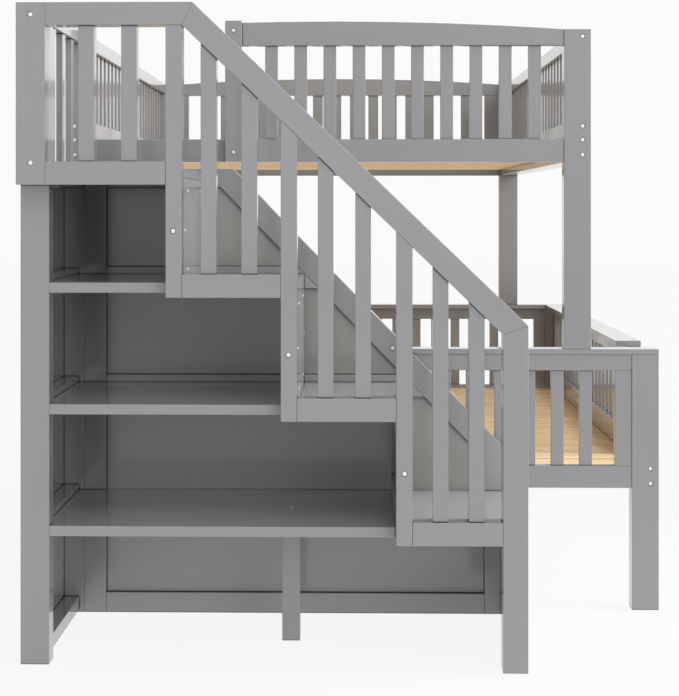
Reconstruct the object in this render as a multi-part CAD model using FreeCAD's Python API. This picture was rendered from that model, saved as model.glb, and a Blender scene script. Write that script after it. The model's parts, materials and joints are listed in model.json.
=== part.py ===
"""Bunk bed whose staircase of open shelves stands across the near end.

Millimetres, +Z up, +Y along the bed away from the stairs. Places are first measured from the left face,
the front face of the stair guard and the floor; each piece is then moved so that the origin lies under
the middle of the whole bed.
"""
import FreeCAD
import Part
import math
import os

# Lower bed
lower_width = 1652.0
clear_length = 2068.0
post_width = 74.0
post_depth = 53.0
lower_post_height = 704.5
cap_thickness = 15.5
cap_depth = 65.0
side_cap_width = 74.0
lower_rail_bottom = 336.0
lower_end_rail_height = 61.0
lower_top_rail_height = 44.0
lower_stile_width = 46.0
lower_slat_edge_gap = 62.5
lower_end_slats = 17
lower_guard_start = 241.0
lower_guard_slats = 21
lower_bolt_lifts = (13.0, 54.0)

# Rails and slats that both beds share
side_rail_height = 80.0
side_rail_thickness = 42.0
end_setback = 2.0
panel_thickness = 30.0
slat_width = 35.5
slat_thickness = 17.0
bed_guard_rail_height = 39.0
bed_guard_stile_width = 46.0

# Decks of loose pine slats
deck_slat_width = 110.0
deck_slat_thickness = 18.0
deck_slats = 15
deck_end_clearance = 1.0
cleat_width = 25.0
lower_deck_lift = 34.0
lower_cleat_height = 25.0
upper_deck_lift = 23.0
upper_cleat_height = 23.0
beam_width = 45.0
beam_height = 60.0
beam_leg_shares = (0.33, 0.67)

# Upper bunk
upper_width = 1453.0
upper_inset = 12.5
upper_rail_bottom = 1237.0
upper_board_height = 63.0
upper_post_top = 1604.0
upper_top_rail_bottom = 1559.5
arch_rise = 22.5
near_slats = 10
near_slat_pitch = 81.0
near_slat_edge_gap = 62.8
far_slats = 15
far_slat_width = 40.0
far_stile_width = 57.0
far_slat_edge_gap = 54.0
upper_guard_slats = 24
upper_rail_bolt_lifts = (20.0, 61.5)
entry_post_left = 455.0
entry_post_width = 46.0
entry_post_thickness = 23.0
entry_post_overhang = 5.0
entry_bolt_drop = 27.0
entry_bolt_lift = 26.0

# Staircase
guard_depth = 59.0
stair_depth = 535.0
back_frame_depth = 55.0
platform_run = 399.0
tread_run = 276.0
first_tread_top = 337.0
tread_rise = 296.0
tread_thickness = 25.0
platform_top = 1205.0
platform_thickness = 22.0
riser_thickness = 15.0
riser_cleat_depth = 41.0
riser_cleat_height = 50.0
stair_leg_width = 70.0
stair_leg_depth = 58.0
middle_leg_width = 46.0
middle_leg_depth = 50.0
middle_leg_setback = 240.0
middle_leg_left = 627.0
side_panel_thickness = 13.0
side_panel_inset = 2.0
side_rail_depth = 42.0
side_rail_stock = 60.0
side_rail_lip = 15.0
side_bottom_rail_bottom = 7.0
side_bottom_rail_height = 37.0

# Stair guard
guard_top = 1604.0
guard_top_rail_height = 55.0
guard_lower_rail_height = 56.0
guard_rail_drop = 34.0
platform_rail_bottom = 1166.0
handrail_width = 57.0
newel_width = 60.0
newel_height = 808.0
step_post_width = 39.0
baluster_width = 37.5
baluster_depth = 45.0
platform_baluster_shares = (0.338, 0.694)
step_baluster_shares = ((0.267, 0.680), (0.288, 0.667), (0.311, 0.711))
step_bolt_lifts = (138.0, 126.0, 126.0)
step_bolt_insets = (19.0, 20.0, 21.0)
newel_bolt_inset = 29.0
guard_low_bolt_lift = 53.0

# Platform side guard
side_guard_rail_width = 40.0
side_guard_rail_height = 38.0
side_guard_rail_inset = 15.0
side_guard_slats = 3
side_guard_slat_inset = 5.0

# Back frame of the staircase
back_left_stile = 131.0
back_right_stile = 59.0
back_bottom_rail_height = 55.0
back_top_rail_height = 51.0
back_mid_rail_height = 60.0
back_mid_rail_lip = 20.0
stringer_width = 60.0
stringer_slope = 1.027
stringer_panel_corner = 445.5
back_panel_inset = 12.0
back_panel_thickness = 12.0
stringer_bolt_share = 0.674

# Hardware and edges
edge_ease = 1.5
ease_share = 0.12
bolt_radius = 3.0
bolt_clearance = 0.4
bolt_head_radius = 6.5
bolt_head_height = 3.0
bolt_head_sink = 0.5
bolt_head_dome = 1.2
bolt_socket_width = 4.0
bolt_socket_depth = 1.6
bolt_grip = 45.0
bolt_blind = 50.0
bolt_inset = 22.5
barrel_radius = 5.0
barrel_length = 16.0
barrel_setback = 36.0
barrel_skin = 13.0
screw_radius = 2.0
screw_head_radius = 4.0
screw_head_height = 2.4
screw_head_dome = 1.6
screw_length = 34.0
screw_front_inset = 23.0
screw_side_inset = 90.0
screw_edge = 30.0

# Places worked out from the sizes above
stair_front = guard_depth
stair_back = stair_front + stair_depth
bed_front = stair_back + back_frame_depth
near_inner = bed_front + post_depth
far_inner = near_inner + clear_length
bed_back = far_inner + post_depth
near_panel = (bed_front + end_setback, bed_front + end_setback + panel_thickness)
far_panel = (bed_back - end_setback - panel_thickness, bed_back - end_setback)
lower_cap_top = lower_post_height + cap_thickness
upper_left = upper_inset
upper_right = upper_inset + upper_width
tread_tops = [first_tread_top + step * tread_rise for step in range(3)] + [platform_top]
tread_bottoms = [top - tread_thickness for top in tread_tops[:3]] + [platform_top - platform_thickness]
riser_faces = [platform_run + (3 - step) * tread_run for step in range(4)]
side_rail_face = side_panel_inset + side_panel_thickness + side_rail_depth
newel_right = riser_faces[0]
newel_left = newel_right - newel_width
guard_top_rail_bottom = guard_top - guard_top_rail_height
handrail_slope = (guard_top_rail_bottom - newel_height) / (newel_left - platform_run)
handrail_rise = handrail_width * math.hypot(1.0, handrail_slope)
lower_slats_top = lower_post_height - lower_top_rail_height
middle = FreeCAD.Vector(-lower_width / 2, -bed_back / 2, 0)


# Shapes that many pieces share
def eased(shape, smallest):
    """Round every edge a little, as sanded and painted boards are."""
    radius = min(edge_ease, ease_share * smallest)
    return shape.makeFillet(radius, shape.Edges)


def board(x, y, z):
    """A straight board given by its low and high place on each axis."""
    sizes = [high - low for low, high in (x, y, z)]
    block = Part.makeBox(*sizes, FreeCAD.Vector(x[0], y[0], z[0]))
    return eased(block, min(sizes))


def cut_board(outline, y):
    """A board with a straight-sided outline of (x, z) points, as thick as y says."""
    points = [FreeCAD.Vector(x, y[0], z) for x, z in outline]
    face = Part.Face(Part.makePolygon(points + points[:1]))
    return eased(face.extrude(FreeCAD.Vector(0, y[1] - y[0], 0)), y[1] - y[0])


def rod(radius, start, along, length):
    return Part.makeCylinder(radius, length, FreeCAD.Vector(*start), FreeCAD.Vector(*along))


def spread(start, end, width, count):
    """Low edges of equal pieces with equal gaps between them and at both ends."""
    gap = (end - start - count * width) / (count + 1)
    return [start + gap + index * (width + gap) for index in range(count)]


def save(name, solids):
    group = Part.makeCompound(solids)
    group.translate(middle)
    group.exportStep("parts/" + name + ".step")


# Bolts along Y: a sunk domed head with a six-sided socket, in a drilled hole
class Bolt:
    def __init__(self, x, face, z, toward, grip):
        self.x = x
        self.face = face
        self.z = z
        self.toward = toward
        self.grip = grip

    def at(self, depth):
        return (self.x, self.face + self.toward * depth, self.z)

    def along(self):
        return (0, self.toward, 0)

    def hole(self):
        sink = bolt_head_height + bolt_head_sink
        wide = rod(bolt_head_radius + bolt_clearance, self.at(0), self.along(), sink)
        slim = rod(bolt_radius + bolt_clearance, self.at(0), self.along(), self.grip + bolt_blind)
        return wide.fuse(slim)

    def solid(self):
        head = rod(bolt_head_radius, self.at(bolt_head_sink), self.along(), bolt_head_height)
        outer = self.at(bolt_head_sink)[1]
        rim = [edge for edge in head.Edges if abs(edge.CenterOfMass.y - outer) < edge_ease]
        head = head.makeFillet(bolt_head_dome, rim[:1])
        shank = rod(bolt_radius, self.at(bolt_head_sink), self.along(), self.grip + bolt_grip)
        corners = []
        for step in range(6):
            turn = math.radians(step * 60)
            centre = FreeCAD.Vector(*self.at(0))
            corners.append(centre + FreeCAD.Vector(math.cos(turn), 0, math.sin(turn)) * bolt_socket_width)
        socket = Part.Face(Part.makePolygon(corners + corners[:1]))
        depth = self.toward * (bolt_head_sink + bolt_socket_depth)
        return head.fuse(shank).cut(socket.extrude(FreeCAD.Vector(0, depth, 0))).removeSplitter()

    def barrel(self, rail_end, inward):
        """The cross-drilled nut in a side rail, and the hole that takes it from the rail's inner face."""
        y = rail_end + self.toward * barrel_setback
        start = (self.x - inward * barrel_length / 2, y, self.z)
        nut = rod(barrel_radius, start, (inward, 0, 0), barrel_length)
        nut = nut.cut(rod(bolt_radius + bolt_clearance, self.at(0), self.along(), self.grip + bolt_blind))
        reach = side_rail_thickness - barrel_skin
        bore = rod(barrel_radius + bolt_clearance, start, (inward, 0, 0), reach)
        return nut, bore


def drilled(shape, bolts):
    for bolt in bolts:
        shape = shape.cut(bolt.hole())
    return shape


bolts = []
barrels = []


# Posts with their bolts, and the side rails that the bolts hold
def side_joints(left, right, lifts):
    """Bolts of one bed by corner: near and far, on the left and right side."""
    corners = {}
    for end, face, toward in (("near", bed_front, 1), ("far", bed_back, -1)):
        for side, x in (("left", left + bolt_inset), ("right", right - bolt_inset)):
            corners[end, side] = [Bolt(x, face, z, toward, post_depth) for z in lifts]
    return corners


def side_rail(corners, side, outer, bottom):
    """A side rail between the posts, bored for its bolts and barrel nuts."""
    inward = 1 if side == "left" else -1
    x = sorted((outer, outer + inward * side_rail_thickness))
    rail = board(x, (near_inner, far_inner), (bottom, bottom + side_rail_height))
    for end, rail_end in (("near", near_inner), ("far", far_inner)):
        held = [bolt for bolt in corners[end, side] if bottom < bolt.z < bottom + side_rail_height]
        rail = drilled(rail, held)
        for bolt in held:
            nut, bore = bolt.barrel(rail_end, inward)
            rail = rail.cut(bore)
            barrels.append(nut)
    return rail


def bed_posts(prefix, corners, left, right, bottom, top):
    for (end, side), held in corners.items():
        x = (left, left + post_width) if side == "left" else (right - post_width, right)
        y = (bed_front, near_inner) if end == "near" else (far_inner, bed_back)
        save(prefix + "_" + end + "_" + side + "_post", [drilled(board(x, y, (bottom, top)), held)])
        bolts.extend(bolt.solid() for bolt in held)


# Lower bed
def lower_bed():
    lifts = [lower_rail_bottom + lift for lift in lower_bolt_lifts]
    corners = side_joints(0, lower_width, lifts)
    bed_posts("lower", corners, 0, lower_width, 0, lower_post_height)
    save("lower_left_side_rail", [side_rail(corners, "left", 0, lower_rail_bottom)])
    save("lower_right_side_rail", [side_rail(corners, "right", lower_width, lower_rail_bottom)])
    lower_ends()
    lower_guard()


def lower_ends():
    inner = (post_width, lower_width - post_width)
    ends = (near_panel, far_panel)
    caps = ((bed_front, bed_front + cap_depth), (bed_back - cap_depth, bed_back))
    cap_z = (lower_post_height, lower_cap_top)
    bottom_z = (lower_rail_bottom, lower_rail_bottom + lower_end_rail_height)
    side_cap_x = (lower_width - side_cap_width, lower_width)
    side_cap = board(side_cap_x, (near_inner + lower_guard_start, bed_back - cap_depth), cap_z)
    save("lower_caps", [board((0, lower_width), y, cap_z) for y in caps] + [side_cap])
    save("lower_end_top_rails", [board(inner, y, (lower_slats_top, lower_post_height)) for y in ends])
    save("lower_end_bottom_rails", [board(inner, y, bottom_z) for y in ends])
    upright_z = (bottom_z[1], lower_slats_top)
    stiles = (inner[0], inner[1] - lower_stile_width)
    save("lower_end_stiles",
         [board((x, x + lower_stile_width), y, upright_z) for y in ends for x in stiles])
    first = inner[0] + lower_stile_width + lower_slat_edge_gap
    last = inner[1] - lower_stile_width - lower_slat_edge_gap - slat_width
    pitch = (last - first) / (lower_end_slats - 1)
    slat_inset = (panel_thickness - slat_thickness) / 2
    for name, y in zip(("lower_near_slats", "lower_far_slats"), ends):
        slat_y = (y[0] + slat_inset, y[1] - slat_inset)
        lows = [first + index * pitch for index in range(lower_end_slats)]
        save(name, [board((x, x + slat_width), slat_y, upright_z) for x in lows])


def side_guard(x, y, bottom, top, count):
    """Rails and end stiles of a bed's side guard, and its row of slats."""
    low = (bottom, bottom + bed_guard_rail_height)
    high = (top - bed_guard_rail_height, top)
    upright = (low[1], high[0])
    stiles = (y[0], y[1] - bed_guard_stile_width)
    frame = [board(x, y, low), board(x, y, high)]
    frame += [board(x, (start, start + bed_guard_stile_width), upright) for start in stiles]
    slat_inset = (x[1] - x[0] - slat_thickness) / 2
    slat_x = (x[0] + slat_inset, x[1] - slat_inset)
    lows = spread(y[0] + bed_guard_stile_width, y[1] - bed_guard_stile_width, slat_width, count)
    slats = [board(slat_x, (start, start + slat_width), upright) for start in lows]
    return frame, slats


def lower_guard():
    x = (lower_width - side_rail_thickness, lower_width)
    y = (near_inner + lower_guard_start, far_inner)
    bottom = lower_rail_bottom + side_rail_height
    frame, slats = side_guard(x, y, bottom, lower_post_height, lower_guard_slats)
    save("lower_guard_frame", frame)
    save("lower_guard_slats", slats)


# Decks: cleats along the side rails, and slats laid across them
def deck(prefix, left, right, slat_bottom, cleat_height):
    inner = (left + side_rail_thickness, right - side_rail_thickness)
    cleat_z = (slat_bottom - cleat_height, slat_bottom)
    long = (near_inner, far_inner)
    cleats = [board((inner[0], inner[0] + cleat_width), long, cleat_z),
              board((inner[1] - cleat_width, inner[1]), long, cleat_z)]
    save(prefix + "_deck_cleats", cleats)
    x = (inner[0] + deck_end_clearance, inner[1] - deck_end_clearance)
    z = (slat_bottom, slat_bottom + deck_slat_thickness)
    lows = spread(near_inner, far_inner, deck_slat_width, deck_slats)
    save(prefix + "_deck_slats", [board(x, (y, y + deck_slat_width), z) for y in lows])


def centre_support():
    x = ((lower_width - beam_width) / 2, (lower_width + beam_width) / 2)
    top = lower_rail_bottom + lower_deck_lift
    save("lower_centre_beam", [board(x, (near_inner, far_inner), (top - beam_height, top))])
    legs = []
    for share in beam_leg_shares:
        y = near_inner + share * clear_length - beam_width / 2
        legs.append(board(x, (y, y + beam_width), (0, top - beam_height)))
    save("lower_centre_legs", legs)


# Upper bunk
def arched_rail(x, y, bottom):
    """A rail with a flat lower edge and a top that follows the arch between the two posts."""
    centre = (upper_left + upper_right) / 2
    half = upper_width / 2 - post_width
    tops = []
    for place in (x[1], (x[0] + x[1]) / 2, x[0]):
        fall = arch_rise * ((place - centre) / half) ** 2
        tops.append(FreeCAD.Vector(place, y[0], upper_post_top + arch_rise - fall))
    low_left = FreeCAD.Vector(x[0], y[0], bottom)
    low_right = FreeCAD.Vector(x[1], y[0], bottom)
    crown = Part.Arc(*tops).toShape()
    edges = [Part.makeLine(low_left, low_right), Part.makeLine(low_right, tops[0]), crown,
             Part.makeLine(tops[2], low_left)]
    face = Part.Face(Part.Wire(edges))
    return eased(face.extrude(FreeCAD.Vector(0, y[1] - y[0], 0)), y[1] - y[0])


def upper_bunk():
    guard_bottom = upper_rail_bottom + side_rail_height
    half_rail = bed_guard_rail_height / 2
    lifts = [upper_rail_bottom + lift for lift in upper_rail_bolt_lifts]
    lifts += [guard_bottom + half_rail, upper_post_top - half_rail]
    corners = side_joints(upper_left, upper_right, lifts)
    bed_posts("upper", corners, upper_left, upper_right, lower_cap_top, upper_post_top)
    save("upper_left_side_rail", [side_rail(corners, "left", upper_left, upper_rail_bottom)])
    save("upper_right_side_rail", [side_rail(corners, "right", upper_right, upper_rail_bottom)])
    frames = []
    slats = []
    for side, outer, inward in (("left", upper_left, 1), ("right", upper_right, -1)):
        x = sorted((outer, outer + inward * side_rail_thickness))
        frame, row = side_guard(x, (near_inner, far_inner), guard_bottom, upper_post_top, upper_guard_slats)
        held = corners["near", side][2:] + corners["far", side][2:]
        frames += [drilled(piece, held) for piece in frame[:2]] + frame[2:]
        slats += row
    save("upper_guard_frames", frames)
    save("upper_guard_slats", slats)
    upper_ends()


def upper_ends():
    inner = (upper_left + post_width, upper_right - post_width)
    board_z = (upper_rail_bottom, upper_rail_bottom + upper_board_height)
    upright_z = (board_z[1], upper_top_rail_bottom)
    slat_inset = (panel_thickness - slat_thickness) / 2

    # Near end: the board runs right across, the rest stops at the entry post
    entry_x = (entry_post_left, entry_post_left + entry_post_width)
    entry_centre = sum(entry_x) / 2
    centre = (upper_left + upper_right) / 2
    half = upper_width / 2 - post_width
    entry_top = upper_post_top + arch_rise - arch_rise * ((entry_post_left - centre) / half) ** 2
    entry_top += entry_post_overhang
    entry_lifts = (upper_rail_bottom + entry_bolt_lift, entry_top - entry_bolt_drop)
    entry_grip = entry_post_thickness - bolt_grip / 2
    entry_y = (near_panel[0] - entry_post_thickness, near_panel[0])
    entry_bolts = [Bolt(entry_centre, entry_y[0], z, 1, entry_grip) for z in entry_lifts]
    bolts.extend(bolt.solid() for bolt in entry_bolts)
    entry = board(entry_x, entry_y, (upper_rail_bottom, entry_top))
    save("entry_post", [drilled(entry, entry_bolts)])
    near_board = drilled(board(inner, near_panel, board_z), entry_bolts)
    save("upper_end_boards", [near_board, board(inner, far_panel, board_z)])
    rail = arched_rail((entry_post_left, inner[1]), near_panel, upper_top_rail_bottom)
    save("upper_near_top_rail", [drilled(rail, entry_bolts)])
    last = inner[1] - near_slat_edge_gap - slat_width
    lows = [last - index * near_slat_pitch for index in range(near_slats)]
    slat_y = (near_panel[0] + slat_inset, near_panel[1] - slat_inset)
    save("upper_near_slats", [board((x, x + slat_width), slat_y, upright_z) for x in lows])

    # Far end: a full panel with stiles beside the posts
    save("upper_far_top_rail", [arched_rail(inner, far_panel, upper_top_rail_bottom)])
    stiles = (inner[0], inner[1] - far_stile_width)
    save("upper_far_stiles", [board((x, x + far_stile_width), far_panel, upright_z) for x in stiles])
    first = inner[0] + far_stile_width + far_slat_edge_gap
    last = inner[1] - far_stile_width - far_slat_edge_gap - far_slat_width
    pitch = (last - first) / (far_slats - 1)
    lows = [first + index * pitch for index in range(far_slats)]
    slat_y = (far_panel[0] + slat_inset, far_panel[1] - slat_inset)
    save("upper_far_slats", [board((x, x + far_slat_width), slat_y, upright_z) for x in lows])


# Staircase: legs, side, treads and risers
def stair_legs(guard_bolts):
    x = (0, stair_leg_width)
    front_y = (stair_front, stair_front + stair_leg_depth)
    save("stair_front_leg", [drilled(board(x, front_y, (0, guard_top)), guard_bolts)])
    middle_x = (middle_leg_left, middle_leg_left + middle_leg_width)
    start = stair_front + middle_leg_setback
    leg = board(middle_x, (start, start + middle_leg_depth), (0, tread_bottoms[0]))
    screw = (sum(middle_x) / 2, start + middle_leg_depth / 2, tread_tops[0])
    shank = rod(screw_radius + bolt_clearance, screw, (0, 0, -1), screw_length + bolt_clearance)
    save("stair_middle_leg", [leg.cut(shank)])
    return screw


def stair_side():
    between = (stair_front + stair_leg_depth, stair_back)
    panel_x = (side_panel_inset, side_panel_inset + side_panel_thickness)
    rail_x = (panel_x[1], side_rail_face)
    save("stair_side_panel", [board(panel_x, between, (side_bottom_rail_bottom, platform_rail_bottom))])
    rails = [(side_bottom_rail_bottom, side_bottom_rail_bottom + side_bottom_rail_height)]
    for top in tread_tops[:3]:
        rails.append((top + side_rail_lip - side_rail_stock, top + side_rail_lip))
    solids = [board(rail_x, between, z) for z in rails]
    top_x = (side_guard_rail_inset, stair_leg_width)
    top_z = (platform_rail_bottom, platform_rail_bottom + guard_lower_rail_height)
    solids.append(board(top_x, between, top_z))
    save("stair_side_rails", solids)
    return top_z[1]


def platform_side_guard(bottom):
    start = stair_front + stair_leg_depth
    x = (side_guard_rail_inset, side_guard_rail_inset + side_guard_rail_width)
    solids = [board(x, (start, bed_front), (guard_top - side_guard_rail_height, guard_top))]
    slat_face = x[1] - side_guard_slat_inset
    slat_z = (bottom, guard_top - side_guard_rail_height)
    for y in spread(start, bed_front, slat_width, side_guard_slats):
        solids.append(board((slat_face - slat_thickness, slat_face), (y, y + slat_width), slat_z))
    save("platform_side_guard", solids)


def riser_screw_places(face, low, high):
    """Six screws in a riser: two at mid height near its ends, four beside the treads."""
    mid = (low + high) / 2
    places = [(face, stair_front + screw_front_inset, mid), (face, stair_back - screw_front_inset, mid)]
    for y in (stair_front + screw_side_inset, stair_back - screw_side_inset):
        for z in (low + screw_edge, high - screw_edge):
            places.append((face, y, z))
    return places


def screw(place, along):
    """A screw whose domed head stands on the face."""
    top = FreeCAD.Vector(*place) - FreeCAD.Vector(*along) * screw_head_height
    head = rod(screw_head_radius, top, along, screw_head_height)
    rim = [edge for edge in head.Edges if edge.CenterOfMass.distanceToPoint(top) < edge_ease]
    head = head.makeFillet(screw_head_dome, rim)
    return head.fuse(rod(screw_radius, top, along, screw_length)).removeSplitter()


def screw_hole(place, along):
    return rod(screw_radius + bolt_clearance, place, along, screw_length + bolt_clearance)


def let_in(piece):
    """A tread with its corner cut away for the front leg."""
    sizes = (stair_leg_width, stair_leg_depth, platform_top)
    return piece.cut(Part.makeBox(*sizes, FreeCAD.Vector(0, stair_front, 0)))


def treads_and_risers(leg_screw, guard_bolts):
    y = (stair_front, stair_back)
    screws = [screw(leg_screw, (0, 0, -1))]
    names = ("tread_1", "tread_2", "tread_3", "platform")
    for index, name in enumerate(names):
        start = stair_leg_width if name == "platform" else side_rail_face
        piece = board((start, riser_faces[index]), y, (tread_bottoms[index], tread_tops[index]))
        if name != "platform":
            piece = let_in(piece)
        if index == 0:
            piece = piece.cut(screw_hole(leg_screw, (0, 0, -1)))
        save(name, [piece])
    first_x = (riser_faces[0] - riser_thickness, riser_faces[0])
    risers = [board(first_x, y, (0, tread_bottoms[0]))]
    cleats = []
    for index in range(1, len(names)):
        face = riser_faces[index]
        low = tread_tops[index - 1]
        high = tread_bottoms[index]
        riser = board((face - riser_thickness, face), y, (low, high))
        cleat_x = (face - step_post_width, face - riser_thickness)
        between = (y[0] + riser_cleat_depth, y[1] - riser_cleat_depth)
        group = [board(cleat_x, (y[0], between[0]), (low, high)),
                 board(cleat_x, (between[1], y[1]), (low, high)),
                 board(cleat_x, between, (low, low + riser_cleat_height)),
                 board(cleat_x, between, (high - riser_cleat_height, high))]
        group[0] = drilled(group[0], guard_bolts)
        for place in riser_screw_places(face, low, high):
            screws.append(screw(place, (-1, 0, 0)))
            riser = riser.cut(screw_hole(place, (-1, 0, 0)))
            group = [piece.cut(screw_hole(place, (-1, 0, 0))) for piece in group]
        risers.append(riser)
        cleats += group
    save("stair_risers", risers)
    save("riser_cleats", cleats)
    save("stair_screws", screws)


# Back frame of the staircase, with the diagonal stringer
def stringer_low(z):
    """The x of the stringer's lower edge at a height."""
    return stringer_panel_corner + (platform_rail_bottom - z) / stringer_slope


def back_frame():
    y = (stair_back, bed_front)
    left = back_left_stile
    right = (newel_right - back_right_stile, newel_right)
    top = platform_rail_bottom + back_top_rail_height
    rise = stringer_width * math.hypot(1.0, stringer_slope)
    low_end = platform_rail_bottom - (right[0] - stringer_panel_corner) * stringer_slope
    outer_end = low_end + rise - back_right_stile * stringer_slope
    save("stair_back_leg", [board((0, stair_leg_width), y, (0, top))])
    stiles = [board((stair_leg_width, left), y, (0, top)),
              cut_board([(right[0], 0), (right[1], 0), (right[1], outer_end),
                         (right[0], low_end + rise)], y)]
    rails = [board((left, right[0]), y, (0, back_bottom_rail_height)),
             cut_board([(left, platform_rail_bottom), (stringer_panel_corner, platform_rail_bottom),
                        (stringer_low(top), top), (left, top)], y)]
    fields = [back_bottom_rail_height]
    for tread in tread_tops[1:3]:
        z = (tread + back_mid_rail_lip - back_mid_rail_height, tread + back_mid_rail_lip)
        rails.append(cut_board([(left, z[0]), (stringer_low(z[0]), z[0]), (stringer_low(z[1]), z[1]),
                                (left, z[1])], y))
        fields += list(z)
    fields.append(platform_rail_bottom)
    save("stair_back_stiles", stiles)
    save("stair_back_rails", rails)

    # The stringer runs from the top of the frame down to the right stile
    outline = [(stringer_low(top), top), (right[0], low_end), (right[0], low_end + rise),
               (stringer_low(top) + rise / stringer_slope, top)]
    x = stringer_low(top) + stringer_bolt_share * (right[0] - stringer_low(top))
    z = top - (x - stringer_low(top)) * stringer_slope + rise / 2
    bolt = Bolt(x, y[0], z, 1, back_frame_depth - bolt_blind)
    bolts.append(bolt.solid())
    save("stair_stringer", [drilled(cut_board(outline, y), [bolt])])

    # Panels fill the fields between the rails, set back from the frame's face
    panel_y = (y[0] + back_panel_inset, y[0] + back_panel_inset + back_panel_thickness)
    panels = []
    for low, high in zip(fields[0::2], fields[1::2]):
        outline = [(left, low), (min(stringer_low(low), right[0]), low)]
        if stringer_low(low) > right[0]:
            outline.append((right[0], low_end))
        outline += [(stringer_low(high), high), (left, high)]
        panels.append(cut_board(outline, panel_y))
    save("stair_back_panels", panels)


# Stair guard: posts, rails, handrail and balusters in the front plane
def handrail_under(x):
    return guard_top_rail_bottom - handrail_slope * (x - platform_run)


def guard_bolts_at():
    left_x = stair_leg_width / 2
    lifts = (platform_rail_bottom + guard_low_bolt_lift, guard_top - newel_bolt_inset)
    left = [Bolt(left_x, 0, z, 1, guard_depth - bolt_blind / 2) for z in lifts]
    steps = []
    for index in range(1, 4):
        x = riser_faces[index] - step_bolt_insets[index - 1]
        z = tread_tops[index - 1] + step_bolt_lifts[index - 1]
        steps.append(Bolt(x, 0, z, 1, guard_depth - bolt_blind / 2))
    return left, steps


def stair_guard(left_bolts, step_bolts):
    y = (0, guard_depth)
    mitre_x = platform_run + (handrail_rise - guard_top_rail_height) / handrail_slope
    newel_outer = handrail_under(newel_right) + handrail_rise
    left_post = board((0, stair_leg_width), y, (platform_rail_bottom, guard_top))
    newel = cut_board([(newel_left, 0), (newel_right, 0), (newel_right, newel_outer),
                       (newel_left, newel_height)], y)
    save("guard_end_posts", [drilled(left_post, left_bolts), newel])
    save("guard_handrail", [cut_board([(platform_run, guard_top_rail_bottom), (newel_left, newel_height),
                                       (newel_right, newel_outer), (mitre_x, guard_top)], y)])
    save("guard_top_rail", [cut_board([(stair_leg_width, guard_top_rail_bottom),
                                       (platform_run, guard_top_rail_bottom), (mitre_x, guard_top),
                                       (stair_leg_width, guard_top)], y)])
    posts = []
    first_bay = (stair_leg_width, platform_run - step_post_width)
    bays = [(*first_bay, platform_rail_bottom, platform_baluster_shares)]
    starts = [platform_run + step * tread_run for step in range(3)]
    for step, start in enumerate(starts):
        low = tread_tops[2 - step] - guard_rail_drop
        x = (start - step_post_width, start)
        tops = [min(guard_top_rail_bottom, handrail_under(place)) for place in x]
        posts.append(cut_board([(x[0], low), (x[1], low), (x[1], tops[1]), (x[0], tops[0])], y))
        end = start + tread_run - (step_post_width if step < 2 else newel_width)
        bays.append((start, end, low, step_baluster_shares[step]))
    save("guard_step_posts", [drilled(post, step_bolts) for post in posts])
    rails = []
    balusters = []
    inset = (guard_depth - baluster_depth) / 2
    for start, end, low, shares in bays:
        rail_top = low + guard_lower_rail_height
        rails.append(board((start, end), y, (low, rail_top)))
        for share in shares:
            centre = start + share * (end - start)
            x = (centre - baluster_width / 2, centre + baluster_width / 2)
            tops = [min(guard_top_rail_bottom, handrail_under(place)) for place in x]
            outline = [(x[0], rail_top), (x[1], rail_top), (x[1], tops[1]), (x[0], tops[0])]
            balusters.append(cut_board(outline, (inset, guard_depth - inset)))
    save("guard_lower_rails", rails)
    save("guard_balusters", balusters)
    bolts.extend(bolt.solid() for bolt in left_bolts + step_bolts)


os.makedirs("parts", exist_ok=True)
left_guard_bolts, step_guard_bolts = guard_bolts_at()
lower_bed()
deck("lower", 0, lower_width, lower_rail_bottom + lower_deck_lift, lower_cleat_height)
centre_support()
upper_bunk()
deck("upper", upper_left, upper_right, upper_rail_bottom + upper_deck_lift, upper_cleat_height)
middle_screw = stair_legs(left_guard_bolts)
platform_side_guard(stair_side())
treads_and_risers(middle_screw, step_guard_bolts)
back_frame()
stair_guard(left_guard_bolts, step_guard_bolts)
save("bolts", bolts)
save("barrel_nuts", barrels)
print("overall", lower_width, bed_back, upper_post_top + arch_rise)
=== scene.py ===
# %% [markdown]
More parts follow.
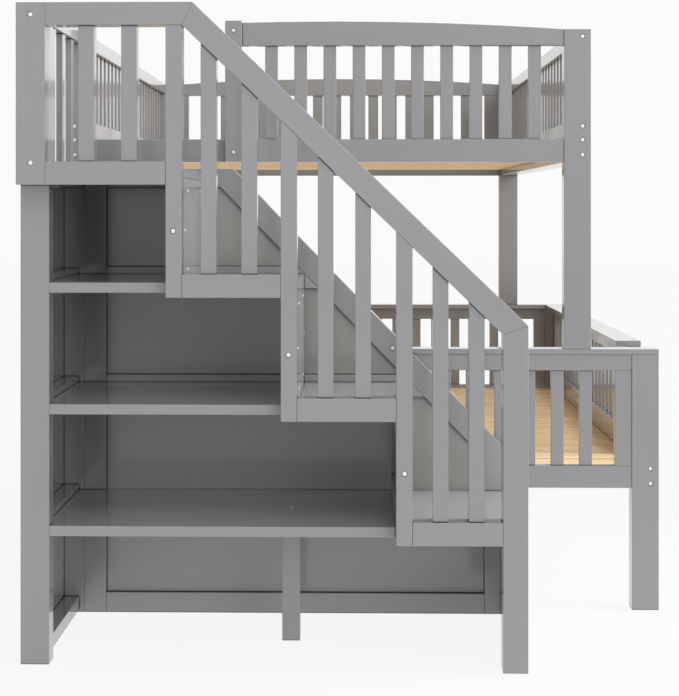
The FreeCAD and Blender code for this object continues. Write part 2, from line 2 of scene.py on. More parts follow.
# # A bunk bed with a shelf staircase, dressed for its portrait
# The carpentry is already done: every board, bolt and slat arrives as a solid of its real size. This
# lesson gives the boards their paint, remakes the rows of slats with Geometry Nodes, so that each slat is a
# little different, remakes the hardware with Geometry Nodes too, and sets up a white studio. Lengths are
# metres, and +Y runs along the bed.

# %% Load the carpentry
import bpy
import bmesh
import json
import math
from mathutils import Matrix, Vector


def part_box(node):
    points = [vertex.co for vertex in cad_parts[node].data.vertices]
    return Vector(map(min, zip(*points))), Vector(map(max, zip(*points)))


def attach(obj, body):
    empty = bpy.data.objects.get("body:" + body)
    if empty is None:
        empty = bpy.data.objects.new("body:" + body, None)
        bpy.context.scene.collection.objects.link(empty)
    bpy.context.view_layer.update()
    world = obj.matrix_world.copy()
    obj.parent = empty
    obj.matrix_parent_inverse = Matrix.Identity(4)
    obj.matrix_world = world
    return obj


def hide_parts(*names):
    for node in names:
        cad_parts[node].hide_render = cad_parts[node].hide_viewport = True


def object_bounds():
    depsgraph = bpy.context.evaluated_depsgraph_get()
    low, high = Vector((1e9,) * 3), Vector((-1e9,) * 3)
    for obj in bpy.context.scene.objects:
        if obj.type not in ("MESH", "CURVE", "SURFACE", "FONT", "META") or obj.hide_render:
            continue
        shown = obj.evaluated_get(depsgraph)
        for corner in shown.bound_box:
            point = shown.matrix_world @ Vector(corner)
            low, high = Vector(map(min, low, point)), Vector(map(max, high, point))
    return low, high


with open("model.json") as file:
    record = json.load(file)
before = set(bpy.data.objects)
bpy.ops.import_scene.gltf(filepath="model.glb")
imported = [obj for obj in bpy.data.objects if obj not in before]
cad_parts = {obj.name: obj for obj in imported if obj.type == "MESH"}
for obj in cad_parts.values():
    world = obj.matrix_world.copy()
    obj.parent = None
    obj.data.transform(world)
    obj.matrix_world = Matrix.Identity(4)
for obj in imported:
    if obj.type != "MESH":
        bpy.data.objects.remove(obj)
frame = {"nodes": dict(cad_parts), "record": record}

nodes = frame["nodes"]
cad_low, cad_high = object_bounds()
print("pieces from the workshop:", len(nodes), "size", [round(v, 3) for v in cad_high - cad_low])

# %% [markdown]
# ## A short way to write node trees
# A node tree can be wired by hand in the editor or link by link in code. Both get long, so here a
# socket is wrapped in a small class with the usual signs: `1 - mask` adds a Math node. One method,
# `add`, makes any other node: its type, its settings, and then what goes into its sockets. A range is a
# pair of numbers, and a mask is a value that goes from 0 to 1.


# %% Wires and trees
class Wire:
    """One output socket of a node tree, with arithmetic."""

    def __init__(self, tree, socket):
        self.tree = tree
        self.socket = socket

    def maths(self, operation, first, second):
        return self.tree.add("ShaderNodeMath", {"operation": operation}, {0: first, 1: second})

    def __add__(self, other):
        return self.maths("ADD", self, other)

    def __sub__(self, other):
        return self.maths("SUBTRACT", self, other)

    def __rsub__(self, other):
        return self.maths("SUBTRACT", other, self)

    def __mul__(self, other):
        return self.maths("MULTIPLY", self, other)

    def __truediv__(self, other):
        return self.maths("DIVIDE", self, other)


class Tree:
    """A node tree that is built one node at a time."""

    def __init__(self, tree):
        self.tree = tree
        self.tree.nodes.clear()

    def add(self, kind, settings=None, sockets=None, output=0):
        node = self.tree.nodes.new(kind)
        for name, value in (settings or {}).items():
            setattr(node, name, value)
        for name, value in (sockets or {}).items():
            for part in value if isinstance(value, list) else [value]:
                if isinstance(part, Wire):
                    self.tree.links.new(part.socket, node.inputs[name])
                else:
                    node.inputs[name].default_value = part
        return Wire(self, node.outputs[output]) if node.outputs else node

    def mix(self, factor, first, second):
        """A colour between two colours."""
        return self.add("ShaderNodeMix", {"data_type": "RGBA"}, {0: factor, 6: first, 7: second}, output=2)

    def reach(self, value, old, new):
        """A value moved from an old range to a new one, and kept inside it."""
        return self.add("ShaderNodeMapRange", None, {"Value": value, "From Min": old[0], "From Max": old[1],
                                                     "To Min": new[0], "To Max": new[1]})


rise = (0.0, 1.0)
fall = (1.0, 0.0)
noise_range = (0.3, 0.7)
print("masks go", rise, "or", fall)


# %% [markdown]
# ## The camera
# The portrait looks along the bed from a little over a metre up. It could be a wide shot that is cut
# later, but a camera does the same with lens shift: the horizon lies well above the middle of the
# picture, and no upright line leans.

# %% Place the camera
image_width, image_height = 679, 696
focal_pixels = 1700.0
horizon_pixel = (319.0, 206.0)
camera_place = Vector((-0.0133, -5.4715, 1.115))
camera_turn = math.radians(1.2)
level = math.radians(90.0)

camera = bpy.data.objects.new("portrait_camera", bpy.data.cameras.new("portrait_camera"))
camera.location = camera_place
camera.rotation_euler = (level, 0.0, camera_turn)
camera.data.lens = camera.data.sensor_width * focal_pixels / image_height
camera.data.shift_x = (image_width / 2 - horizon_pixel[0]) / image_height
camera.data.shift_y = (horizon_pixel[1] - image_height / 2) / image_height
bpy.context.scene.collection.objects.link(camera)
bpy.context.scene.camera = camera
shifts = (camera.data.shift_x, camera.data.shift_y)
print("lens", round(camera.data.lens, 1), "mm, shift", [round(shift, 3) for shift in shifts])

# %% [markdown]
# ## The studio
# A catalogue picture like this is lit by a white tent: light comes from all round, so faces turned to
# the viewer are even, the shelves grow dark inside, and glossy paint seen edge on mirrors the white.
# Walls of cloth could be modelled, but a world does it with less: warm white light that is stronger
# from the right. What the camera sees of the tent, and what gloss mirrors of it, is one even white.

# %% White tent
tent_warm = (1.0, 1.0, 0.89, 1.0)
tent_white = (0.96, 0.96, 0.96, 1.0)
tent_sides = (-0.1, 0.9)
tent_strengths = (0.47, 1.50)

scene = bpy.context.scene
scene.view_settings.view_transform = "Standard"
world = bpy.data.worlds.new("white_tent")
world.use_nodes = True
scene.world = world
tent = Tree(world.node_tree)
tent_way = tent.add("ShaderNodeTexCoord", None, None, "Generated")
tent_side = tent.add("ShaderNodeSeparateXYZ", None, {0: tent_way}, "X")
tent_strength = tent.reach(tent_side, tent_sides, tent_strengths)
tent_light = tent.add("ShaderNodeBackground", None, {"Color": tent_warm, "Strength": tent_strength})
tent_seen = tent.add("ShaderNodeBackground", None, {"Color": tent_white, "Strength": 1.0})
is_camera = tent.add("ShaderNodeLightPath", None, None, "Is Camera Ray")
is_glossy = tent.add("ShaderNodeLightPath", None, None, "Is Glossy Ray")
is_through = tent.add("ShaderNodeLightPath", None, None, "Is Transmission Ray")
seen = tent.add("ShaderNodeMath", {"operation": "MAXIMUM"}, {0: is_camera, 1: is_glossy})
seen = tent.add("ShaderNodeMath", {"operation": "MAXIMUM"}, {0: seen, 1: is_through})
tent_mixed = tent.add("ShaderNodeMixShader", None, {0: seen, 1: tent_light, 2: tent_seen})
tent.add("ShaderNodeOutputWorld", None, {"Surface": tent_mixed})
print("tent:", len(world.node_tree.nodes), "nodes")

# %% [markdown]
# ## The floor
# The white sheet under the bed runs on to the horizon without a seam. A curved backdrop would do it
# too. Here the floor is flat, it glows like a sheet that is lit from below, and further out the camera
# sees less and less shade on it, so that it ends in the white of the tent. Near the legs some soft
# shade stays.

# %% Floor
floor_half = 30.0
floor_fade = (1.2, 3.4)
floor_whites = (0.235, 0.30)
floor_share = 0.70
floor_white = (0.86, 0.86, 0.86, 1.0)
floor_glow_white = (1.0, 1.0, 1.0, 1.0)
floor_glow_strength = 0.955

floor_mesh = bpy.data.meshes.new("studio_floor")
corners = [(-floor_half, -floor_half, 0.0), (floor_half, -floor_half, 0.0),
           (floor_half, floor_half, 0.0), (-floor_half, floor_half, 0.0)]
floor_mesh.from_pydata(corners, [], [(0, 1, 2, 3)])
studio_floor = bpy.data.objects.new("studio_floor", floor_mesh)
scene.collection.objects.link(studio_floor)

floor_paint = bpy.data.materials.new("white_floor")
floor_paint.use_nodes = True
floor_tree = Tree(floor_paint.node_tree)
floor_shade = floor_tree.add("ShaderNodeBsdfDiffuse", None, {"Color": floor_white})
floor_seen = floor_tree.add("ShaderNodeLightPath", None, None, "Is Camera Ray")
floor_glow = floor_tree.add("ShaderNodeEmission", None,
                            {"Color": floor_glow_white, "Strength": floor_glow_strength})
floor_place = floor_tree.add("ShaderNodeTexCoord", None, None, "Object")
floor_away = floor_tree.add("ShaderNodeVectorMath", {"operation": "LENGTH"}, {0: floor_place}, "Value")
floor_extra = floor_tree.reach(floor_away, floor_fade, floor_whites)
floor_mixed = floor_tree.add("ShaderNodeMixShader", None,
                             {0: floor_seen * floor_extra + floor_share, 1: floor_shade, 2: floor_glow})
floor_tree.add("ShaderNodeOutputMaterial", None, {"Surface": floor_mixed})
floor_mesh.materials.append(floor_paint)
print("floor:", 2 * floor_half, "m wide")

# %% [markdown]
# ## Lamps
# Three broad soft lamps give the boards a lit and a shaded side: one high at the right, one far in
# front, and one over the stairs that reaches the front of the shelves. They are slightly blue, as
# against the warm tent, and gloss doesn't mirror them, so no bright discs show in the paint.


# %% Broad lamps
def broad_lamp(name, place, target, size, power, spread):
    """A round lamp turned to a target, with its size in metres, power in watts and spread in degrees."""
    lamp = bpy.data.lights.new(name, "AREA")
    lamp.shape = "DISK"
    lamp.size = size
    lamp.energy = power
    lamp.spread = math.radians(spread)
    lamp.color = lamp_blue
    holder = bpy.data.objects.new(name, lamp)
    holder.location = place
    holder.rotation_euler = (Vector(target) - Vector(place)).to_track_quat("-Z", "Y").to_euler()
    holder.visible_glossy = False
    scene.collection.objects.link(holder)


lamp_blue = (0.94, 0.94, 1.0)
front = cad_low.y
stairs_middle = Vector((-0.45, front + 0.2, 1.05))
bed_front = Vector((0.0, front, cad_high.z / 2))
lamp_rows = (("right_lamp", (3.9, front + 0.7, 3.4), stairs_middle, 2.6, 60.0, 72.0),
             ("front_lamp", (3.8, front - 8.0, 3.5), bed_front, 4.5, 165.0, 180.0),
             ("shelf_lamp", (0.3, front - 3.4, 4.6), stairs_middle, 2.2, 24.0, 120.0))
for lamp_row in lamp_rows:
    broad_lamp(*lamp_row)
print("lamps:", [lamp_row[0] for lamp_row in lamp_rows])

# %% [markdown]
# ## Grey paint
# The boards are sanded softwood under satin grey paint. Sprayed paint hides the colour of the wood but
# not all of its figure: long shallow streaks follow the grain, and a fine pebbling lies over them. One
# grey all over would look like plastic, so noise that is stretched along the grain moves the tone and
# the sheen a little and dents the surface. The grain runs along each board, so there is a paint for
# each direction.
#
# Where two boards meet, and in every inside corner, the paint is drawn darker in a thin line: painted
# shade, for the shadow in the narrow gap. Lines could be modelled as grooves, but an ambient occlusion node
# finds
# every narrow gap by itself: where something is nearer than a few millimetres, the paint is painted dark
# and loses its gloss. Joints that are glued and filled before painting show less of a line, so some paints
# have weaker ones. Sheets, risers and tread tops are a shade lighter than the boards, and the sheets
# faintly olive: painted light, for the light inside the shelves, on the risers from the right and on the
# treads from above.

# %% Paint finishes
paint_grey = (0.250, 0.249, 0.264, 1.0)
paint_worn = (0.264, 0.263, 0.277, 1.0)
# Sheets and risers get lighter greys, the sheets faintly olive: painted light, as they carry the same paint
# as the boards.
painted_lit_sheet_grey = (0.288, 0.289, 0.282, 1.0)
painted_lit_sheet_worn = (0.302, 0.303, 0.295, 1.0)
# Tread faces that look up get a lighter grey: painted light from above.
painted_lit_tread_top = (0.352, 0.352, 0.348, 1.0)
painted_lit_riser_grey = (0.322, 0.322, 0.318, 1.0)
# The colour of the painted shade in joints and inside corners.
painted_joint_shade = (0.008, 0.008, 0.007, 1.0)
joint_reach = 0.0045
joint_openness = (0.5, 0.92)
baluster_span = (-0.40, 0.31)
handrail_turn = math.radians(-45.0)
grain_across = 70.0
grain_along = 2.2
paint_tones = (0.35, 0.65)
paint_roughness = (0.15, 0.22)
paint_gloss = 0.70
upward_faces = (0.5, 0.9)
upward_share = (0.0, 0.9)


def start_finish(name):
    material = bpy.data.materials.new(name)
    material.use_nodes = True
    return material, Tree(material.node_tree)


def end_finish(tree, sockets):
    shader = tree.add("ShaderNodeBsdfPrincipled", None, sockets)
    tree.add("ShaderNodeOutputMaterial", None, {"Surface": shader})


def paint_finish(name, stretch, greys, turn=0.0, joints=1.0, painted_top_light=None, open_span=None):
    """Satin paint whose grain is stretched by the three numbers, and turned about Y for a sloping board.

    Joints is the strength of the dark joint lines, which are painted shade and full inside an open span of
    X.
    The painted top light is a lighter grey for faces that look up: painted light, for light from above.
    """
    material, tree = start_finish(name)
    place = tree.add("ShaderNodeTexCoord", None, None, "Object")
    turned = tree.add("ShaderNodeMapping", None, {"Vector": place, "Rotation": (0.0, turn, 0.0)})
    grain_place = tree.add("ShaderNodeMapping", None, {"Vector": turned, "Scale": stretch})
    grain = tree.add("ShaderNodeTexNoise", None, {"Vector": grain_place, "Scale": 1.0, "Detail": 5.0,
                                                  "Roughness": 0.55, "Distortion": 0.4})
    clouds = tree.add("ShaderNodeTexNoise", None, {"Vector": place, "Scale": 3.0, "Detail": 2.0})
    pebbles = tree.add("ShaderNodeTexNoise", None, {"Vector": place, "Scale": 420.0, "Detail": 2.0})
    own = tree.add("ShaderNodeAttribute", {"attribute_name": "slat_tone"}, None, "Fac")
    tone = tree.reach(grain * 0.5 + clouds * 0.5 + own * 0.2, paint_tones, rise)
    colour = tree.mix(tone, *greys)
    # Painted light: faces that look up are painted lighter.
    if painted_top_light:
        normal = tree.add("ShaderNodeTexCoord", None, None, "Normal")
        upward = tree.add("ShaderNodeSeparateXYZ", None, {0: normal}, "Z")
        colour = tree.mix(tree.reach(upward, upward_faces, upward_share), colour, painted_top_light)
    # Painted shade: ambient occlusion darkens the paint where another surface is within a few millimetres.
    nearby = tree.add("ShaderNodeAmbientOcclusion", {"samples": 6}, {"Distance": joint_reach}, "AO")
    joint = tree.reach(nearby, joint_openness, fall)
    if open_span:
        sideways = tree.add("ShaderNodeSeparateXYZ", None, {0: place}, "X")
        start, end = open_span
        inside = tree.add("ShaderNodeMath", {"operation": "COMPARE"},
                          {0: sideways, 1: (start + end) / 2, 2: (end - start) / 2})
        joints = inside * (1.0 - joints) + joints
    joint = joint * joints
    colour = tree.mix(joint, colour, painted_joint_shade)
    sheen = tree.reach(grain * 0.8 + pebbles * 0.2, noise_range, paint_roughness)
    height = grain * 0.88 + pebbles * 0.12
    dents = tree.add("ShaderNodeBump", None, {"Strength": 0.05, "Distance": 0.0008, "Height": height})
    gloss = paint_gloss - joint * paint_gloss
    end_finish(tree, {"Base Color": colour, "Roughness": sheen, "Normal": dents, "Coat Weight": gloss,
                      "Coat Roughness": 0.09})
    return material


across = (grain_along, grain_across, grain_across)
along_bed = (grain_across, grain_along, grain_across)
upright = (grain_across, grain_across, grain_along)
board_greys = (paint_grey, paint_worn)
sheet_greys = (painted_lit_sheet_grey, painted_lit_sheet_worn)
paints = {"across": paint_finish("grey_paint_across", across, board_greys),
          "along": paint_finish("grey_paint_along", along_bed, board_greys),
          "upright": paint_finish("grey_paint_upright", upright, board_greys),
          "slope": paint_finish("grey_paint_slope", across, board_greys, handrail_turn),
          "sheet": paint_finish("grey_paint_sheet_painted_light", across, sheet_greys),
          "riser": paint_finish("grey_paint_riser_painted_light", upright, (painted_lit_riser_grey, painted_lit_sheet_worn)),
          "tread": paint_finish("grey_paint_tread_painted_lit_top", across, board_greys, painted_top_light=painted_lit_tread_top),
          "glued_across": paint_finish("grey_paint_glued_across", across, board_greys, joints=0.05),
          "glued_upright": paint_finish("grey_paint_glued_upright", upright, board_greys, joints=0.45),
          "filled_upright": paint_finish("grey_paint_filled_upright", upright, board_greys, joints=0.08),
          "glued_slope": paint_finish("grey_paint_glued_slope", across, board_greys, handrail_turn,
                                      joints=0.0, open_span=baluster_span)}
print("paints:", list(paints))

# %% [markdown]
# ## Which way the boards run
# The grain of a board follows its longest side, and could be worked out from its box. But each node
# holds boards of one kind, so its name is enough to tell, and also says which boards are sheets,
# risers, treads or glued frames. Rails and treads run across the bed, side rails run along it, posts
# and slats stand upright, and the handrail and the stringer slope.

# %% Paint the boards
words_of = {"slope": ("handrail", "stringer"),
            "sheet": ("panel", "stair_back", "riser_cleats", "stair_side_rails"),
            "riser": ("risers",),
            "along": ("side_rail", "cleats", "guard_frame", "platform_side_guard", "centre_beam"),
            "tread": ("tread_", "platform"),
            "across": ("caps", "top_rail", "bottom_rails", "end_boards", "lower_rails")}
glued_nodes = {"guard_handrail": "glued_slope", "guard_end_posts": "filled_upright",
               "guard_top_rail": "glued_across", "lower_end_stiles": "glued_upright",
               "lower_end_top_rails": "glued_across", "lower_end_bottom_rails": "glued_across"}


def board_kind(name):
    """The key of a board's paint, from the first word in its name that is known."""
    if name in glued_nodes:
        return glued_nodes[name]
    for kind, words in words_of.items():
        if any(word in name for word in words):
            return kind
    return "upright"


def dress(piece, material):
    piece.data.materials.clear()
    piece.data.materials.append(material)


slot_of = {row["node"]: row["material_slot"] for row in frame["record"]["subparts"]}
for name, piece in nodes.items():
    if slot_of[name] == "grey_paint":
        dress(piece, paints[board_kind(name)])
print("painted:", sum(slot == "grey_paint" for slot in slot_of.values()))

# %% [markdown]
# ## Bare pine
# The slats that carry the mattresses are planed pine. Its figure is made of year rings that a saw has
# cut lengthwise: pale wood with darker bands that run along the board, wander, and part round knots. A
# wave texture makes bands that are too even. So slow noise on stretched coordinates is cut into bands,
# finer noise frays them, a Voronoi texture places the knots, and a halo round each knot bends the
# bands. Each slat keeps a number of its own, made with the slat, which shifts the pattern and the tone.

# %% Pine finish
pine_pale = (0.86, 0.67, 0.42, 1.0)
pine_ring = (0.70, 0.48, 0.26, 1.0)
pine_dark = (0.52, 0.33, 0.16, 1.0)
knot_brown = (0.30, 0.15, 0.06, 1.0)
slat_shifts = (7.0, 13.0, 3.0)
knot_core = (0.03, 0.075)
knot_halo = (0.05, 0.30)
knot_rarity = 0.55
late_wood = (0.55, 0.98)
pore_tones = (0.58, 0.75)
pore_depths = (0.0, 0.7)
pine_roughness = (0.48, 0.62)


def pine_finish(name, stretch, knot_stretch):
    """Bare pine whose rings and knots are stretched along the board."""
    material, tree = start_finish(name)
    place = tree.add("ShaderNodeTexCoord", None, None, "Object")
    own = tree.add("ShaderNodeAttribute", {"attribute_name": "slat_tone"}, None, "Fac")
    shift = tree.add("ShaderNodeCombineXYZ", None,
                     {axis: own * far for axis, far in enumerate(slat_shifts)})
    moved = tree.add("ShaderNodeVectorMath", {"operation": "ADD"}, {0: place, 1: shift})
    grain_place = tree.add("ShaderNodeMapping", None, {"Vector": moved, "Scale": stretch})
    drift = tree.add("ShaderNodeTexNoise", None, {"Vector": grain_place, "Scale": 0.35, "Detail": 3.0})
    rings = tree.add("ShaderNodeTexNoise", None, {"Vector": grain_place, "Scale": 1.0, "Detail": 6.0,
                                                  "Roughness": 0.6, "Distortion": 1.2})
    knot_place = tree.add("ShaderNodeMapping", None, {"Vector": moved, "Scale": knot_stretch})
    knot_away = tree.add("ShaderNodeTexVoronoi", None, {"Vector": knot_place, "Scale": 1.0}, "Distance")
    knot_chance = tree.add("ShaderNodeTexVoronoi", None, {"Vector": knot_place, "Scale": 1.0}, "Color")
    knot_chance = tree.add("ShaderNodeSeparateColor", None, {0: knot_chance}, "Red")
    has_knot = tree.add("ShaderNodeMath", {"operation": "GREATER_THAN"}, {0: knot_chance, 1: knot_rarity})
    knot = tree.reach(knot_away, knot_core, fall) * has_knot
    halo = tree.reach(knot_away, knot_halo, fall) * has_knot
    bands = tree.add("ShaderNodeMath", {"operation": "FRACT"}, {0: drift * 9.0 + rings * 0.6 + halo * 2.5})
    late = tree.reach(bands, late_wood, rise)
    pores = tree.reach(rings, pore_tones, pore_depths)
    colour = tree.mix(late * 0.75, pine_pale, pine_ring)
    colour = tree.mix(pores, colour, pine_dark)
    warm = tree.mix(own * 0.3 + 0.15, colour, pine_ring)
    warm = tree.mix(knot * 0.8, warm, knot_brown)
    sheen = tree.reach(rings, noise_range, pine_roughness)
    height = late * 0.5 + rings * 0.5
    dents = tree.add("ShaderNodeBump", None, {"Strength": 0.15, "Distance": 0.001, "Height": height})
    end_finish(tree, {"Base Color": warm, "Roughness": sheen, "Normal": dents})
    return material


pine_across = pine_finish("pine_across", (1.6, 46.0, 46.0), (2.4, 5.5, 5.5))
pine_along = pine_finish("pine_along", (46.0, 1.6, 46.0), (5.5, 2.4, 5.5))
pine_upright = pine_finish("pine_upright", (46.0, 46.0, 1.6), (5.5, 5.5, 2.4))
pines = {"along": pine_along, "upright": pine_upright}
for name, piece in nodes.items():
    if slot_of[name] == "pine":
        dress(piece, pine_across if "slats" in name else pines[board_kind(name)])
print("pine:", [name for name, slot in slot_of.items() if slot == "pine"])

# %% [markdown]
# ## Zinc plated steel
# Bolts, nuts and screws are bright zinc plated steel. A plain metal with one roughness would do for a
# far view. Plating has a soft cloudiness and fine marks, so a coarse noise tints it, a fine one dents
# it, and both together vary its roughness.

# %% Steel finish
steel_bright = (0.97, 0.97, 0.97, 1.0)
steel_dull = (0.88, 0.89, 0.90, 1.0)
steel_roughness = (0.18, 0.36)

steel, steel_tree = start_finish("zinc_steel")
steel_place = steel_tree.add("ShaderNodeTexCoord", None, None, "Object")
cloud = steel_tree.add("ShaderNodeTexNoise", None, {"Vector": steel_place, "Scale": 300.0, "Detail": 3.0})
fine = steel_tree.add("ShaderNodeTexNoise", None, {"Vector": steel_place, "Scale": 1800.0, "Detail": 2.0})
steel_tone = steel_tree.mix(cloud, steel_bright, steel_dull)
steel_sheen = steel_tree.reach(cloud * 0.6 + fine * 0.4, noise_range, steel_roughness)
steel_dents = steel_tree.add("ShaderNodeBump", None, {"Strength": 0.08, "Distance": 0.0004, "Height": fine})
end_finish(steel_tree, {"Base Color": steel_tone, "Metallic": 1.0, "Roughness": steel_sheen,
                        "Normal": steel_dents})
for name, piece in nodes.items():
    if slot_of[name] == "steel":
        dress(piece, steel)
print("steel:", [name for name, slot in slot_of.items() if slot == "steel"])

# %% [markdown]
# ## Finding the boards in a row
# A row of slats arrives as one node that holds many separate solids. To remake the row, its places are
# needed. They could be typed in again, but then they could drift from the carpentry. So a copy of the
# node's mesh is merged and walked from point to point: points that hang together are one solid, and its
# box is its place.

# %% Solids of a node
merge_reach = 0.00001


def solids_of(name):
    """The points of each separate solid in a node, in a fixed order."""
    shell = bmesh.new()
    shell.from_mesh(nodes[name].data)
    bmesh.ops.remove_doubles(shell, verts=shell.verts, dist=merge_reach)
    waiting = {vert.index: vert for vert in shell.verts}
    found = []
    while waiting:
        _, first = waiting.popitem()
        stack, points = [first], []
        while stack:
            vert = stack.pop()
            points.append(vert.co.copy())
            for edge in vert.link_edges:
                other = waiting.pop(edge.other_vert(vert).index, None)
                if other:
                    stack.append(other)
        found.append(points)
    shell.free()
    return sorted(found, key=lambda points: [round(v, 4) for v in box_of(points)[0]])


def box_of(points):
    """The lowest and highest corner round some points."""
    low = Vector([min(p[axis] for p in points) for axis in range(3)])
    high = Vector([max(p[axis] for p in points) for axis in range(3)])
    return low, high


print("slats in the near row:", len(solids_of("lower_near_slats")))

# %% [markdown]
# ## Rows of slats
# A slat is a planed board with rounded edges. One could be modelled and copied by hand, or an Array
# modifier could repeat it, but then each copy is the same to the paint. Geometry Nodes draws the
# rounded outline, runs it along a line to make one slat, and sets it on every place. Before the copies
# become real, each is given a number of its own: paint and pine read it to change the tone, and pine
# also to shift its figure.


# %% A tree with named inputs, and the mesh it makes
def row_tree(name, inlets):
    """A Geometry Nodes tree with named inputs, and those inputs as wires."""
    group = bpy.data.node_groups.new(name, "GeometryNodeTree")
    tree = Tree(group)
    for label, kind in inlets.items():
        group.interface.new_socket(label, in_out="INPUT", socket_type="NodeSocket" + kind)
    group.interface.new_socket("Geometry", in_out="OUTPUT", socket_type="NodeSocketGeometry")
    entry = group.nodes.new("NodeGroupInput")
    return tree, {socket.name: Wire(tree, socket) for socket in entry.outputs if socket.name}


def grow(name, tree, places, values, traits=None):
    """The plain mesh that a tree makes on some places; traits are numbers or vectors of the places."""
    seeds = bpy.data.meshes.new(name + "_places")
    seeds.from_pydata(places, [], [])
    for trait, (kind, field, rows) in (traits or {}).items():
        seeds.attributes.new(trait, kind, "POINT").data.foreach_set(field, rows)
    maker = bpy.data.objects.new(name + "_maker", seeds)
    scene.collection.objects.link(maker)
    modifier = maker.modifiers.new("row", "NODES")
    modifier.node_group = tree.tree
    for item in tree.tree.interface.items_tree:
        if item.name in values:
            modifier[item.identifier] = values[item.name]
    graph = bpy.context.evaluated_depsgraph_get()
    mesh = bpy.data.meshes.new_from_object(maker.evaluated_get(graph), depsgraph=graph)
    bpy.data.objects.remove(maker)
    mesh.name = name
    piece = bpy.data.objects.new(name, mesh)
    scene.collection.objects.link(piece)
    return piece


def stand_for(piece, node):
    """Let a piece stand for a node, and say how far their boxes are apart."""
    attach(piece, "root")
    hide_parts(node)
    piece_low, piece_high = box_of([vert.co for vert in piece.data.vertices])
    node_low, node_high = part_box(node)
    apart = max((piece_low - Vector(node_low)).length, (piece_high - Vector(node_high)).length)
    print(piece.name, len(piece.data.polygons), "faces, box apart by", round(apart * 1000, 2), "mm")


# %% The slat tree
slat_tree, slat_in = row_tree("slat_row", {
    "Geometry": "Geometry", "Width": "Float", "Thickness": "Float", "Rounding": "Float", "Length": "Float",
    "Direction": "Vector", "Seed": "Int", "Finish": "Material"})
outline = slat_tree.add("GeometryNodeCurvePrimitiveQuadrilateral", {"mode": "RECTANGLE"},
                        {"Width": slat_in["Width"], "Height": slat_in["Thickness"]})
outline = slat_tree.add("GeometryNodeFilletCurve", {"mode": "POLY"},
                        {"Curve": outline, "Count": 5, "Radius": slat_in["Rounding"], "Limit Radius": True})
spine = slat_tree.add("GeometryNodeCurvePrimitiveLine", {"mode": "DIRECTION"},
                      {"Direction": slat_in["Direction"], "Length": slat_in["Length"]})
slat = slat_tree.add("GeometryNodeCurveToMesh", None,
                     {"Curve": spine, "Profile Curve": outline, "Fill Caps": True})
row = slat_tree.add("GeometryNodeInstanceOnPoints", None, {"Points": slat_in["Geometry"], "Instance": slat})
slat_number = slat_tree.add("FunctionNodeRandomValue", {"data_type": "FLOAT"},
                            {2: -0.5, 3: 0.5, "Seed": slat_in["Seed"]}, output=1)
row = slat_tree.add("GeometryNodeStoreNamedAttribute", {"data_type": "FLOAT", "domain": "INSTANCE"},
                    {"Geometry": row, "Name": "slat_tone", "Value": slat_number})
row = slat_tree.add("GeometryNodeRealizeInstances", None, {"Geometry": row})
row = slat_tree.add("GeometryNodeSetShadeSmooth", None, {"Geometry": row, "Shade Smooth": False})
row = slat_tree.add("GeometryNodeSetMaterial", None, {"Geometry": row, "Material": slat_in["Finish"]})
slat_tree.add("NodeGroupOutput", None, {"Geometry": row})
print("slat tree:", len(slat_tree.tree.nodes), "nodes")


# %% Lay the rows
def slat_row(node, direction, rounding, seed, finish):
    """Remake the row of slats in a node, whose slats run in the direction of one axis."""
    boxes = [box_of(points) for points in solids_of(node)]
    size = boxes[0][1] - boxes[0][0]
    places = []
    for low, high in boxes:
        start = (low + high) / 2
        start[direction] = low[direction]
        places.append(start)
    way = Vector((0.0, 0.0, 0.0))
    way[direction] = 1.0
    others = [axis for axis in range(3) if axis != direction]
    values = {"Width": size[others[0]], "Thickness": size[others[1]], "Rounding": rounding,
              "Length": size[direction], "Direction": way, "Seed": seed, "Finish": finish}
    stand_for(grow(node + "_row", slat_tree, places, values), node)


x_axis, z_axis = 0, 2
painted_rounding = 0.0022
deck_rounding = 0.003
painted_rows = ("lower_near_slats", "lower_far_slats", "lower_guard_slats", "upper_near_slats",
                "upper_far_slats", "upper_guard_slats")
deck_seeds = {"lower_deck_slats": 11, "upper_deck_slats": 12}
for seed, node in enumerate(painted_rows):
    slat_row(node, z_axis, painted_rounding, seed, paints["upright"])
for node, seed in deck_seeds.items():
    slat_row(node, x_axis, deck_rounding, seed, pine_across)

# %% [markdown]
# ## Bolts and screws
# The boards are held by socket bolts: a low domed head that sits in a drilled hole, with a six sided
# recess for the key. The screws of the stair risers are smaller. Each could be modelled by hand and
# copied, but both follow one rule, so one tree makes them: a disc whose rim is lowered to leave a dome,
# a recess cut out of it, and a shank behind.

# %% The bolt tree
bolt_tree, bolt_in = row_tree("bolt_row", {
    "Geometry": "Geometry", "Head Radius": "Float", "Head Height": "Float", "Dome": "Float",
    "Recess Radius": "Float", "Recess Depth": "Float", "Shank Radius": "Float", "Finish": "Material"})
disc = bolt_tree.add("GeometryNodeMeshCylinder", {"fill_type": "NGON"},
                     {"Vertices": 28, "Side Segments": 1, "Fill Segments": 5,
                      "Radius": bolt_in["Head Radius"], "Depth": bolt_in["Head Height"]})
spot = bolt_tree.add("GeometryNodeInputPosition")
spot_x = bolt_tree.add("ShaderNodeSeparateXYZ", None, {0: spot}, "X")
spot_y = bolt_tree.add("ShaderNodeSeparateXYZ", None, {0: spot}, "Y")
spot_z = bolt_tree.add("ShaderNodeSeparateXYZ", None, {0: spot}, "Z")
share = (spot_x * spot_x + spot_y * spot_y) / (bolt_in["Head Radius"] * bolt_in["Head Radius"])
on_top = bolt_tree.add("ShaderNodeMath", {"operation": "GREATER_THAN"}, {0: spot_z, 1: 0.0})
drop = bolt_tree.add("ShaderNodeCombineXYZ", None, {"Z": on_top * share * bolt_in["Dome"] * -1.0})
head = bolt_tree.add("GeometryNodeSetPosition", None, {"Geometry": disc, "Offset": drop})
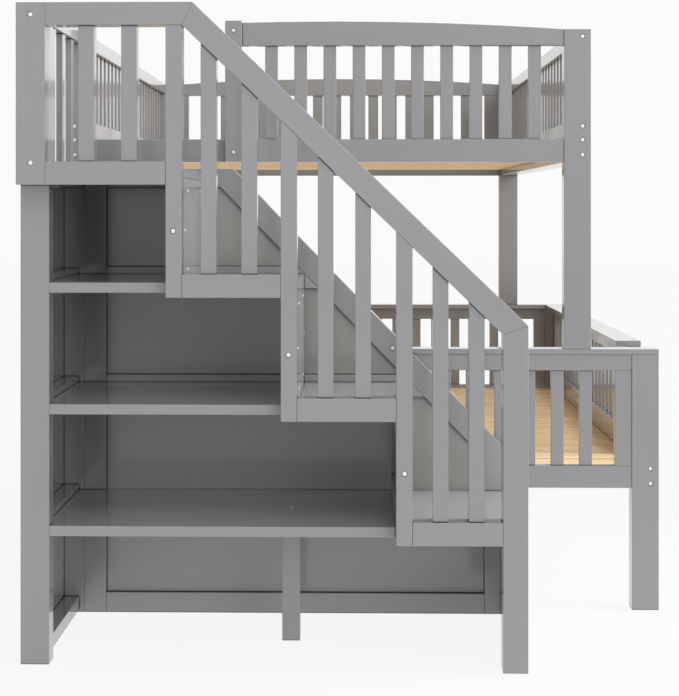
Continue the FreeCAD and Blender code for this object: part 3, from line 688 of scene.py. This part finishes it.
recess = bolt_tree.add("GeometryNodeMeshCylinder", {"fill_type": "NGON"},
                       {"Vertices": 6, "Radius": bolt_in["Recess Radius"],
                        "Depth": bolt_in["Recess Depth"] * 2.0})
recess_lift = bolt_tree.add("ShaderNodeCombineXYZ", None, {"Z": bolt_in["Head Height"] * 0.5})
recess = bolt_tree.add("GeometryNodeTransform", None, {"Geometry": recess, "Translation": recess_lift})
head = bolt_tree.add("GeometryNodeMeshBoolean", {"operation": "DIFFERENCE", "solver": "EXACT"},
                     {"Mesh 1": head, "Mesh 2": recess})
head_drop = bolt_tree.add("ShaderNodeCombineXYZ", None, {"Z": bolt_in["Head Height"] * -0.5})
head = bolt_tree.add("GeometryNodeTransform", None, {"Geometry": head, "Translation": head_drop})
print("bolt head:", len(bolt_tree.tree.nodes), "nodes")

# %% Shanks, places and finish of the bolts
shank = bolt_tree.add("GeometryNodeMeshCylinder", {"fill_type": "NGON"},
                      {"Vertices": 16, "Radius": bolt_in["Shank Radius"], "Depth": 1.0})
shank = bolt_tree.add("GeometryNodeTransform", None, {"Geometry": shank, "Translation": (0.0, 0.0, -0.5)})
facing = bolt_tree.add("GeometryNodeInputNamedAttribute", {"data_type": "FLOAT_VECTOR"}, {"Name": "facing"})
bolt_reach = bolt_tree.add("GeometryNodeInputNamedAttribute", {"data_type": "FLOAT"}, {"Name": "reach"})
turn = bolt_tree.add("FunctionNodeAlignRotationToVector", {"axis": "Z"}, {"Vector": facing})
stretch = bolt_tree.add("ShaderNodeCombineXYZ", None,
                        {"X": 1.0, "Y": 1.0, "Z": bolt_reach - bolt_in["Head Height"]})
heads = bolt_tree.add("GeometryNodeInstanceOnPoints", None,
                      {"Points": bolt_in["Geometry"], "Instance": head, "Rotation": turn})
back = bolt_tree.add("ShaderNodeVectorMath", {"operation": "SCALE"},
                     {0: facing, "Scale": bolt_in["Head Height"] * -1.0})
behind = bolt_tree.add("GeometryNodeSetPosition", None, {"Geometry": bolt_in["Geometry"], "Offset": back})
shanks = bolt_tree.add("GeometryNodeInstanceOnPoints", None,
                       {"Points": behind, "Instance": shank, "Rotation": turn, "Scale": stretch})
bolts = bolt_tree.add("GeometryNodeJoinGeometry", None, {"Geometry": [heads, shanks]})
bolts = bolt_tree.add("GeometryNodeRealizeInstances", None, {"Geometry": bolts})
bolts = bolt_tree.add("GeometryNodeSetShadeSmooth", None, {"Geometry": bolts, "Shade Smooth": False})
bolts = bolt_tree.add("GeometryNodeSetMaterial", None, {"Geometry": bolts, "Material": bolt_in["Finish"]})
bolt_tree.add("NodeGroupOutput", None, {"Geometry": bolts})
print("bolt tree:", len(bolt_tree.tree.nodes), "nodes")


# %% Set the bolts and screws
def off_line(point, middle, along):
    """How far a point lies from a line through a middle along one axis."""
    away = point - middle
    away[along] = 0.0
    return away.length


def bolt_row(node, values):
    """Remake the bolts in a node. A bolt points along its longest side, and its head is the wide end."""
    places, facings, reaches = [], [], []
    for points in solids_of(node):
        low, high = box_of(points)
        middle = (low + high) / 2
        along = max(range(3), key=lambda axis: high[axis] - low[axis])
        spread = {}
        for end in (low[along], high[along]):
            close = [point for point in points if abs(point[along] - end) < values["Head Height"]]
            spread[end] = max(off_line(point, middle, along) for point in close)
        head_end = max(spread, key=spread.get)
        middle[along] = head_end
        facing_way = Vector((0.0, 0.0, 0.0))
        facing_way[along] = 1.0 if head_end == high[along] else -1.0
        places.append(middle)
        facings.extend(facing_way)
        reaches.append(high[along] - low[along])
    traits = {"facing": ("FLOAT_VECTOR", "vector", facings), "reach": ("FLOAT", "value", reaches)}
    stand_for(grow(node + "_set", bolt_tree, places, values, traits), node)


bolt_sizes = {"Head Radius": 0.0055, "Head Height": 0.003, "Dome": 0.0012, "Recess Radius": 0.0026,
              "Recess Depth": 0.0016, "Shank Radius": 0.003, "Finish": steel}
screw_sizes = {"Head Radius": 0.004, "Head Height": 0.0024, "Dome": 0.0014, "Recess Radius": 0.0014,
               "Recess Depth": 0.001, "Shank Radius": 0.002, "Finish": steel}
bolt_row("bolts", bolt_sizes)
bolt_row("stair_screws", screw_sizes)
